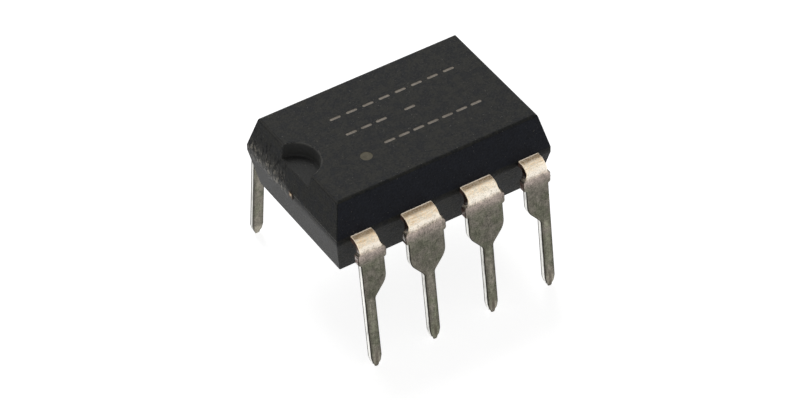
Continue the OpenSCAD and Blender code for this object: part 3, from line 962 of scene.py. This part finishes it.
def stub_points(half, sizes, rng):
    """The cut end of the dam bar on one edge, with its corners rubbed round and its face torn."""
    points = []
    for place, share in STUB_OUTLINE:
        worn = share * rng.uniform(0.86, 1.0) if 0 < share else 0.0
        height = sizes.stub_low + (sizes.stub_top - sizes.stub_low) * place
        points.append((half + sizes.stub * worn, height))
    return points


def tip_points(sizes):
    """Flat end, nub and taper of a pin."""
    tip, point = sizes.tip_width / 2, sizes.point_height
    return [
        (tip * 0.8, 0.0),
        (tip, 0.03),
        (tip * 1.12, point * 0.8),
        (sizes.point_width / 2, point * 1.35),
        (sizes.pin_width / 2, sizes.tip_height),
    ]


def lead_edge(sizes, shouldered, rng):
    """One long edge of a lead as (half width, height), from the tip up."""
    pin = sizes.pin_width / 2
    shoulder = sizes.shoulder_width / 2
    root = sizes.root_width / 2 if shouldered else pin
    points = tip_points(sizes)
    if shouldered:
        taper = (pin, sizes.taper_end)
        corner = (shoulder, sizes.shoulder_end)
        above = (shoulder, sizes.stub_low)
        points += fillet_points((pin, sizes.tip_height), taper, corner, sizes.taper_round)
        points += fillet_points(taper, corner, above, sizes.shoulder_round, steps=10)
    points += stub_points(shoulder if shouldered else pin, sizes, rng)
    frame_low = to_mm(BAND_LOW.z)
    return points + [(root, frame_low), (root, frame_low + sizes.thickness)]


def at_height(points, z):
    """Half width of an edge at a height."""
    if z <= points[0][1]:
        return points[0][0]
    for (x0, z0), (x1, z1) in zip(points, points[1:]):
        if z0 <= z <= z1:
            return x0 if z1 == z0 else x0 + (x1 - x0) * (z - z0) / (z1 - z0)
    return points[-1][0]


# Steps of the bend, and heights in millimetres of the rings that shape the tip and the leg
BEND_STEPS = 12
TIP_LEVELS = (0.07, 0.15, 0.26, 0.38)
LEG_LEVELS = tuple(round(0.25 * k, 4) for k in range(3, 20))


class Strip:
    """The formed strip of one lead for the +X +Y quarter, in its own column."""

    def __init__(self, sizes, body, corner, rng):
        self.sizes = sizes
        self.plus = lead_edge(sizes, not corner, rng)
        self.minus = lead_edge(sizes, True, rng)
        self.thick = sizes.thickness
        self.high = to_mm(BAND_HIGH.z)
        self.low = self.high - self.thick
        self.wall = body.body_width / 2
        self.bend_y = self.wall + sizes.reach
        self.inner_r = sizes.bend_radius
        self.bend_z = self.low - self.inner_r
        self.outer_r = self.inner_r + self.thick

    def stations(self):
        """Pairs of outer and inner (y, z) points, from the anchor to the tip."""
        sizes = self.sizes
        anchor = self.wall - sizes.anchor_depth
        flat = (anchor, anchor + 0.03, self.wall - 0.02, self.wall + 0.03, self.bend_y - 0.02)
        pairs = [((y, self.high), (y, self.low)) for y in flat]
        for k in range(BEND_STEPS + 1):
            a = math.pi / 2 + (sizes.splay - math.pi / 2) * k / BEND_STEPS
            pairs.append(tuple(
                (self.bend_y + r * math.cos(a), self.bend_z + r * math.sin(a))
                for r in (self.outer_r, self.inner_r)
            ))
        leg_y, leg_z = pairs[-1][0]
        across = self.thick / math.cos(sizes.splay)
        levels = {round(z, 4) for _, z in self.plus + self.minus}
        levels |= {*TIP_LEVELS, *LEG_LEVELS}
        reach = sizes.tip_height * 0.7
        for z in sorted((z for z in levels if z <= sizes.stub_top), reverse=True):
            y = leg_y + (leg_z - z) * math.tan(sizes.splay)
            press = sizes.tip_coin * max(0.0, 1 - z / reach) ** 1.3
            pairs.append(((y - press, z), (y - across + press * 0.7, z)))
        return pairs

    def ring(self, outer, inner):
        """Points round the strip's section, with its long edges rounded."""
        outer, inner = Vector(outer), Vector(inner)
        up = (outer - inner).normalized()
        thick = (outer - inner).length
        points = []
        steps = 4
        for quadrant in range(4):
            sign = 1 if quadrant in (0, 3) else -1
            face = outer if quadrant < 2 else inner
            edge = self.plus if sign > 0 else self.minus
            radius = self.sizes.edge_round if quadrant < 2 else self.sizes.back_round
            half = at_height(edge, face.y)
            other = at_height(self.minus if sign > 0 else self.plus, face.y)
            r = min(radius, thick * ROUND_SHARE, (half + other) * ROUND_SHARE)
            middle = face - up * r if quadrant < 2 else face + up * r
            for k in range(steps + 1):
                a = math.pi / 2 * (quadrant + k / steps)
                spot = middle + up * (r * math.sin(a))
                points.append((sign * (half - r) + r * math.cos(a), spot.x, spot.y))
        return points


def finger_rings(start, end, width, low, high):
    """The flat bond finger with its edges broken, from inside the anchor to its end."""
    start, end = Vector(start), Vector(end)
    wide = (end - start).normalized().orthogonal() * width / 2
    narrow = wide * (1 - 2 * FINGER_ROUND / width)
    upper, lower = high - FINGER_ROUND, low + FINGER_ROUND
    section = (
        (wide, upper), (narrow, high), (-narrow, high), (-wide, upper),
        (-wide, lower), (-narrow, low), (narrow, low), (wide, lower),
    )
    return [[(*(place + side), z) for side, z in section] for place in (start, end)]


def column_of(n):
    """Distance of lead n from the middle of its row, in columns."""
    middle = (ROW_COUNT + 1) / 2 if n <= ROW_COUNT else (3 * ROW_COUNT + 1) / 2
    return abs(n - middle)


def quarter_signs(n):
    at_notch = n <= ROW_COUNT / 2 or n > 3 * ROW_COUNT / 2
    return (-1 if at_notch else 1, -1 if n <= ROW_COUNT else 1)


def moved(bm, column_x, signs):
    """Moves a strip into its column and its quarter, with its faces turned outwards again."""
    for vert in bm.verts:
        x, y, z = vert.co
        vert.co = ((x + column_x) * signs[0], y * signs[1], z)
    bmesh.ops.recalc_face_normals(bm, faces=bm.faces[:])


class CHIP_OT_leads(Operator):
    """Form the eight leads, each with its stubs, its rounded edges and its bond finger"""

    bl_idname = "chip.leads"
    bl_label = "Formed leads"

    def execute(self, context):
        sizes = in_mm(context.scene.chip_leads)
        body = in_mm(context.scene.chip_body)
        rng = random.Random(sizes.seed)
        tin = tin_material(sizes, body)
        for n in range(1, LEAD_COUNT + 1):
            corner = column_of(n) > 1
            column_x = column_of(n) * to_mm(PITCH)
            signs = quarter_signs(n)
            strip = Strip(sizes, body, corner, rng)
            bm = bmesh.new()
            skin(bm, [strip.ring(*pair) for pair in strip.stations()])
            moved(bm, column_x, signs)
            lead = new_object("formed_lead_%d" % n, bm, [tin])
            self.add_finger(lead, sizes, column_x, corner, strip, signs)
            if len(lead.data.polygons) < LEAST_LEAD_FACES:
                raise RuntimeError("Lead %d was not drawn whole" % n)
            finish_piece(lead, ["lead_%d" % n])
        return {"FINISHED"}

    def add_finger(self, lead, sizes, column_x, corner, strip, signs):
        """Joins the bond finger to the anchor and cuts the hole that locks the anchor."""
        width, gap = sizes.finger_width, sizes.finger_gap
        paddle_x, paddle_y = PADDLE_HALF
        middle_x = column_x - ((sizes.root_width - sizes.pin_width) / 4 if corner else 0.0)
        start = (middle_x, strip.wall - sizes.anchor_depth + width / 2)
        if corner:
            end = (paddle_x + gap + width / 2, paddle_y - width / 2)
        else:
            end = (column_x, paddle_y + gap)
        bm = bmesh.new()
        low, high = strip.low + FINGER_INSET, strip.high - FINGER_INSET
        skin(bm, finger_rings(start, end, width, low, high))
        moved(bm, 0.0, signs)
        combine(lead, "UNION", bm)
        bm = bmesh.new()
        centre = (middle_x * signs[0], (strip.wall - sizes.anchor_depth / 2) * signs[1])
        hole = [(sizes.lock_radius, strip.low - PAST, 0), (sizes.lock_radius, strip.high + PAST, 0)]
        revolve(bm, centre, hole, steps=32)
        combine(lead, "DIFFERENCE", bm)


class CHIP_OT_inside(Operator):
    """Give the paddle, the glue, the die and the bond wires their own finishes"""

    bl_idname = "chip.inside"
    bl_label = "Die and wires"

    def execute(self, context):
        copper = brushed_metal(
            "Frame copper", (0.1, 0.06, 0.035), (0.62, 0.47, 0.28), (6.0, 12.0, 12.0), 0.4
        )
        gold = brushed_metal("Gold wire", (0.75, 0.5, 0.16), (0.95, 0.72, 0.3), (6.0, 6.0, 6.0), 0.2)
        finishes = {"die_paddle": copper, "die_attach": glue_material(), "die": silicon_material()}
        for n in range(1, LEAD_COUNT + 1):
            finishes["bond_wire_%d" % n] = gold
        for name, material in finishes.items():
            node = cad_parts.get(name)
            if node is None:
                raise RuntimeError("The frame has no node named " + name)
            for slot in node.material_slots:
                slot.material = material
        return {"FINISHED"}


# Half the side of the floor in millimetres, the width of the camera's sensor in millimetres, and each
# lamp's place and size in metres
FLOOR_HALF = 400.0
SENSOR_WIDTH = 36.0
KEY_LAMP = ((0.02, 0.12, 0.17), 0.11)
SIDE_LAMP = ((-0.17, -0.02, 0.07), 0.1)


class CHIP_OT_stage(Operator):
    """Set up the floor, the sky, the lamps and the camera"""

    bl_idname = "chip.stage"
    bl_label = "Stage"

    def execute(self, context):
        settings = context.scene.chip_stage
        self.add_floor(settings)
        self.add_sky(context.scene, settings)
        self.add_lamp("key_lamp", *KEY_LAMP, settings.key)
        self.add_lamp("side_lamp", *SIDE_LAMP, settings.fill)
        self.add_camera(context.scene, settings)
        return {"FINISHED"}

    def seen_directly(self, w):
        """1 where a ray of the camera, of a reflection or of glass looks, and 0 elsewhere."""
        path = w.node("ShaderNodeLightPath").outputs
        seen = w.math("MAXIMUM", path["Is Camera Ray"], path["Is Glossy Ray"])
        return w.math("MAXIMUM", seen, path["Is Transmission Ray"])

    def add_floor(self, settings):
        bm = bmesh.new()
        bmesh.ops.create_grid(bm, x_segments=8, y_segments=8, size=FLOOR_HALF)
        bm.transform(Matrix.Scale(MM, 4))
        material = bpy.data.materials.new("Floor")
        floor = new_object("floor", bm, [material])
        w = empty_tree(material)
        diffuse = w.node("ShaderNodeBsdfDiffuse")
        w.feed(diffuse.inputs["Color"], settings.floor)
        glow = w.node("ShaderNodeEmission")
        w.feed(glow.inputs["Strength"], w.math("MULTIPLY", self.seen_directly(w), settings.floor_glow))
        both = w.node("ShaderNodeAddShader")
        w.feed(both.inputs[0], diffuse.outputs[0])
        w.feed(both.inputs[1], glow.outputs[0])
        w.feed(w.node("ShaderNodeOutputMaterial").inputs["Surface"], both.outputs[0])

    def add_sky(self, scene, settings):
        world = bpy.data.worlds.new("Soft sky")
        w = empty_tree(world)
        sky = w.node("ShaderNodeBackground")
        w.feed(sky.inputs["Color"], (1.0, 1.0, 1.0))
        w.feed(sky.inputs["Strength"], w.lerp(self.seen_directly(w), settings.sky, 1.0))
        w.feed(w.node("ShaderNodeOutputWorld").inputs["Surface"], sky.outputs[0])
        scene.world = world
        scene.view_settings.view_transform = "Standard"

    def add_lamp(self, title, place, size, power):
        lamp = bpy.data.lights.new(title, "AREA")
        lamp.shape = "DISK"
        lamp.size = size
        lamp.energy = power
        made = bpy.data.objects.new(title, lamp)
        bpy.context.scene.collection.objects.link(made)
        made.location = place
        aim = Vector((0.0, 0.0, BODY_HIGH.z)) - Vector(place)
        made.rotation_euler = aim.to_track_quat("-Z", "Y").to_euler()

    def add_camera(self, scene, settings):
        camera = bpy.data.cameras.new("camera")
        camera.sensor_fit = "HORIZONTAL"
        camera.sensor_width = SENSOR_WIDTH
        camera.lens = settings.focal_length
        camera.clip_start = 0.002
        camera.clip_end = 5.0
        made = bpy.data.objects.new("camera", camera)
        scene.collection.objects.link(made)
        turn, rise, roll = settings.azimuth, settings.elevation, settings.roll
        back = Vector((math.sin(turn) * math.cos(rise), -math.cos(turn) * math.cos(rise), math.sin(rise)))
        right = Vector((0.0, 0.0, 1.0)).cross(back).normalized()
        up = back.cross(right)
        right, up = (
            right * math.cos(roll) + up * math.sin(roll),
            up * math.cos(roll) - right * math.sin(roll),
        )
        place = Vector(settings.aim) + back * settings.distance
        made.matrix_world = Matrix((
            (right.x, up.x, back.x, place.x),
            (right.y, up.y, back.y, place.y),
            (right.z, up.z, back.z, place.z),
            (0.0, 0.0, 0.0, 1.0),
        ))
        scene.camera = made


PIECES = (CHIP_OT_stage, CHIP_OT_body, CHIP_OT_marks, CHIP_OT_leads, CHIP_OT_inside)
GROUPS = {
    "chip_body": ChipBodySizes,
    "chip_marks": ChipMarkSizes,
    "chip_leads": ChipLeadSizes,
    "chip_stage": ChipStageSettings,
}


class CHIP_PT_pieces(Panel):
    """Pieces of the chip and their sizes"""

    bl_idname = "CHIP_PT_pieces"
    bl_label = "Dual in-line chip"
    bl_space_type = "VIEW_3D"
    bl_region_type = "UI"
    bl_category = "Chip"

    def draw(self, context):
        for piece in PIECES:
            self.layout.operator(piece.bl_idname)
        for name, group in GROUPS.items():
            box = self.layout.box()
            box.label(text=group.__doc__.rstrip("."))
            for size in group.__annotations__:
                box.prop(getattr(context.scene, name), size)


CLASSES = (*GROUPS.values(), *PIECES, CHIP_PT_pieces)


def register():
    for cls in CLASSES:
        bpy.utils.register_class(cls)
    for name, group in GROUPS.items():
        setattr(bpy.types.Scene, name, PointerProperty(type=group))


def unregister():
    for name in GROUPS:
        delattr(bpy.types.Scene, name)
    for cls in reversed(CLASSES):
        bpy.utils.unregister_class(cls)


def main():
    register()
    for piece in PIECES:
        group, name = piece.bl_idname.split(".")
        getattr(getattr(bpy.ops, group), name)()


if __name__ == "__main__":
    main()
